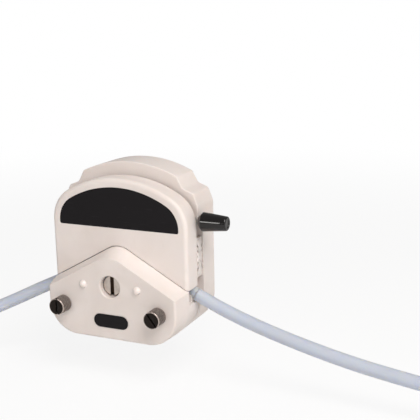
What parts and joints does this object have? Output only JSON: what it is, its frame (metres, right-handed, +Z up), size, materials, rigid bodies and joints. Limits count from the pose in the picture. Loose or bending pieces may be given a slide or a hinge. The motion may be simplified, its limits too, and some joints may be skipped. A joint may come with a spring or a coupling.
{
  "type": "peristaltic pump head",
  "caption": "Ivory peristaltic pump head with a side lever that lifts the cover, a roller rotor, knurled mounting screws and a length of silicone tube.",
  "frame": {"origin": "on the shaft axis at the rear mounting face", "axes": "+Y out of the rear face towards the drive, -Y out of the front, +X to the right of someone facing the front, +Z up"},
  "size_m": [0.3752, 0.0866, 0.1417],
  "materials": {
    "ivory_plastic": "satin moulded",
    "black_label": "smooth satin film",
    "black_plastic": "polished moulded",
    "blackened_steel": "black oxide, knurled",
    "stainless_steel": "turned",
    "bearing_steel": "ground",
    "zinc_steel": "zinc plated",
    "bronze": "sintered",
    "grey_polymer": "moulded",
    "roller_polymer": "turned",
    "silicone": "translucent, smooth"
  },
  "bodies": {
    "pump_body": {"rear_housing": "ivory_plastic", "front_housing": "ivory_plastic", "housing_screws": "zinc_steel", "nose_plate": "black_label", "left_tube_cradle": "ivory_plastic", "right_tube_cradle": "ivory_plastic", "rear_bearing_outer_ring": "bearing_steel", "rear_bearing_balls": "bearing_steel", "front_bearing_outer_ring": "bearing_steel", "front_bearing_balls": "bearing_steel", "tube_in_head": "silicone", "left_tube": "silicone", "right_tube": "silicone"},
    "upper_block": {"front_cover": "ivory_plastic", "cover_label": "black_label", "cover_screws": "zinc_steel", "occlusion_bed": "grey_polymer", "follower_pin": "bearing_steel", "slide_rails": "grey_polymer", "rail_screws": "zinc_steel", "left_tube_clamp": "ivory_plastic", "right_tube_clamp": "ivory_plastic"},
    "lever": {"lever_cam": "grey_polymer", "lever_arm": "zinc_steel", "lever_screws": "zinc_steel", "lever_handle": "black_plastic", "lever_pivot": "stainless_steel", "lever_snap_ring": "blackened_steel"},
    "rotor": {"drive_shaft": "stainless_steel", "rear_rotor_disc": "stainless_steel", "front_rotor_disc": "stainless_steel", "roller_pins": "bearing_steel", "rear_bearing_inner_ring": "bearing_steel", "front_bearing_inner_ring": "bearing_steel", "rear_snap_ring": "blackened_steel", "front_snap_ring": "blackened_steel"},
    "first_roller": {"roller_1": "roller_polymer", "roller_bush_1": "bronze"},
    "second_roller": {"roller_2": "roller_polymer", "roller_bush_2": "bronze"},
    "third_roller": {"roller_3": "roller_polymer", "roller_bush_3": "bronze"},
    "left_screw": {"left_thumbscrew": "blackened_steel"},
    "right_screw": {"right_thumbscrew": "blackened_steel"}
  },
  "joints": [
    {"name": "lever_turn", "type": "hinge", "parent": "pump_body", "child": "lever", "pos_m": [0, -0.0295, 0.0475], "axis": [0, -1, 0], "range_deg": [0, 180]},
    {"name": "upper_block_slide", "type": "slide", "parent": "pump_body", "child": "upper_block", "axis": [0, 0, 1], "range_m": [0, 0.0105]},
    {"name": "rotor_spin", "type": "hinge", "parent": "pump_body", "child": "rotor", "pos_m": [0, -0.034, 0], "axis": [0, -1, 0], "continuous": true},
    {"name": "first_roller_spin", "type": "hinge", "parent": "rotor", "child": "first_roller", "pos_m": [0, -0.034, 0.015], "axis": [0, -1, 0], "continuous": true},
    {"name": "second_roller_spin", "type": "hinge", "parent": "rotor", "child": "second_roller", "pos_m": [-0.01299, -0.034, -0.0075], "axis": [0, -1, 0], "continuous": true},
    {"name": "third_roller_spin", "type": "hinge", "parent": "rotor", "child": "third_roller", "pos_m": [0.01299, -0.034, -0.0075], "axis": [0, -1, 0], "continuous": true},
    {"name": "left_screw_turn", "type": "hinge", "parent": "pump_body", "child": "left_screw", "pos_m": [-0.0402, -0.04, -0.0167], "axis": [0, -1, 0], "continuous": true},
    {"name": "right_screw_turn", "type": "hinge", "parent": "pump_body", "child": "right_screw", "pos_m": [0.0402, -0.04, -0.0167], "axis": [0, -1, 0], "continuous": true}
  ],
  "couplings": [
    {"joint": "upper_block_slide", "follows": "lever_turn", "m_per_rad": 0.0033423},
    {"joint": "first_roller_spin", "follows": "rotor_spin", "ratio": -3.1429},
    {"joint": "second_roller_spin", "follows": "rotor_spin", "ratio": -3.1429},
    {"joint": "third_roller_spin", "follows": "rotor_spin", "ratio": -3.1429}
  ]
}
